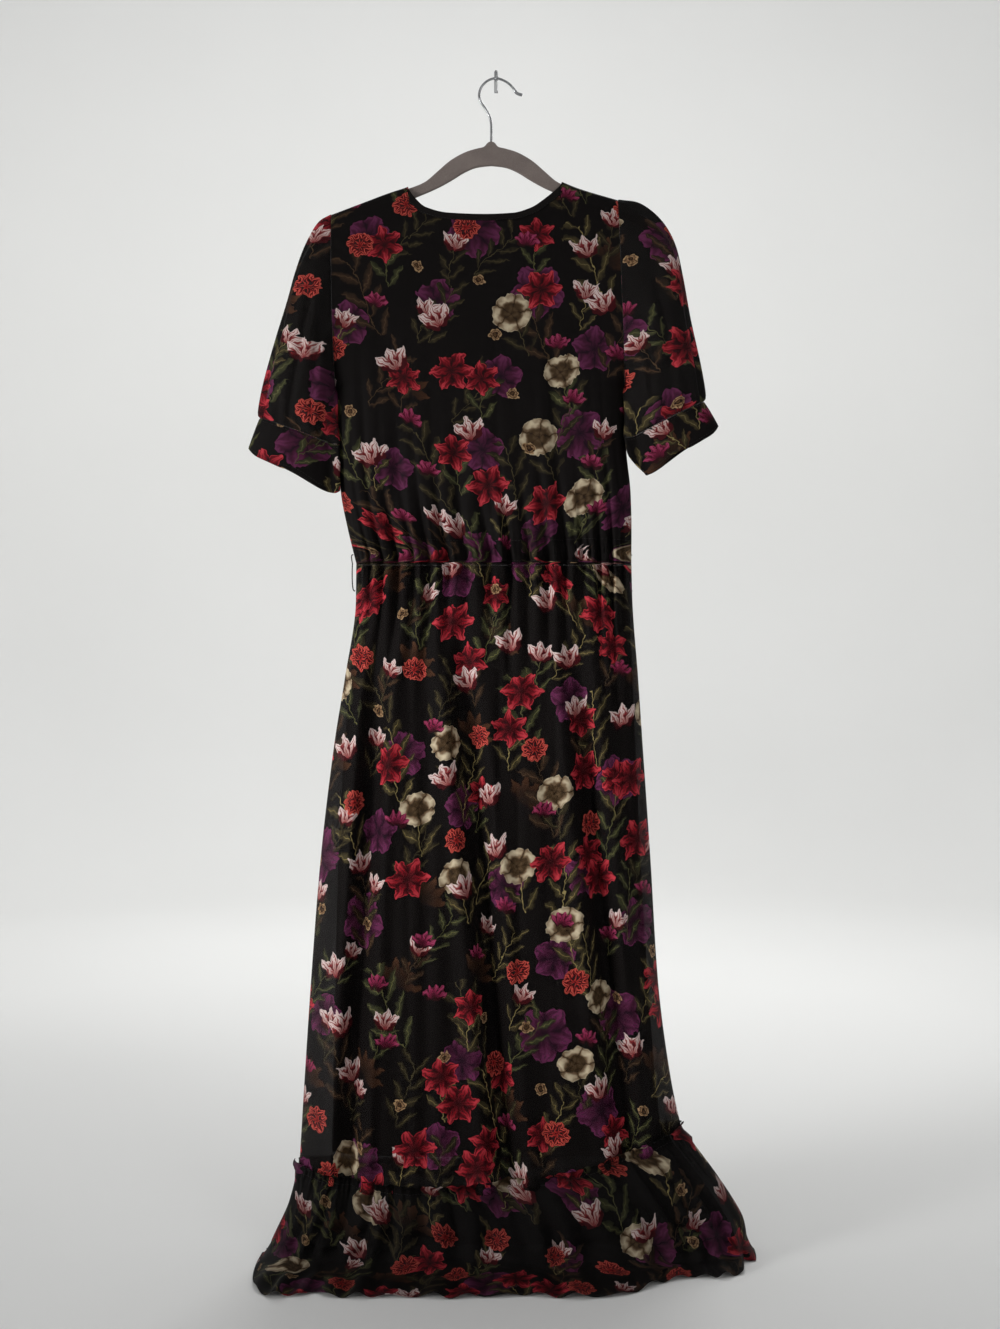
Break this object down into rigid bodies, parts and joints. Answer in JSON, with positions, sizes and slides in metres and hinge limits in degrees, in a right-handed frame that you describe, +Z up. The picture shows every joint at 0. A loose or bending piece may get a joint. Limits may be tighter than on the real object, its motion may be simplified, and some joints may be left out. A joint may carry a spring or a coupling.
{
  "type": "maxi dress on a clothes hanger and wall hook",
  "caption": "Short-sleeved maxi dress with gathered waist, long skirt and hem flounce, hung by its back view on a slim hanger from a small wall hook.",
  "frame": {"origin": "on the wall, in the middle of the back face of the wall hook's plate", "axes": "+Z up, +Y into the wall, +X to the right when looking at the wall; the back of the dress faces -Y and its front faces the wall"},
  "size_m": [0.6144, 0.2065, 1.4441],
  "materials": {
    "printed_chiffon": "black sheer chiffon with a printed flower pattern, matt",
    "lining_cloth": "plain black lining, slight sheen",
    "thread": "black chain-stitched thread",
    "flocked_hanger": "grey flock on moulded plastic",
    "polished_wire": "polished steel wire"
  },
  "bodies": {
    "root": {"bodice_back": "printed_chiffon", "bodice_front": "printed_chiffon", "neck_binding_back": "printed_chiffon", "neck_binding_front": "printed_chiffon", "sleeve_left": "printed_chiffon", "sleeve_right": "printed_chiffon", "cuff_left": "printed_chiffon", "cuff_right": "printed_chiffon", "skirt_back": "printed_chiffon", "skirt_front": "printed_chiffon", "slip_back": "lining_cloth", "slip_front": "lining_cloth", "flounce_back": "printed_chiffon", "flounce_front": "printed_chiffon", "belt_loop_left": "thread", "belt_loop_right": "thread", "hanger_body": "flocked_hanger", "hanger_hook": "polished_wire", "wall_hook": "polished_wire"}
  },
  "joints": []
}
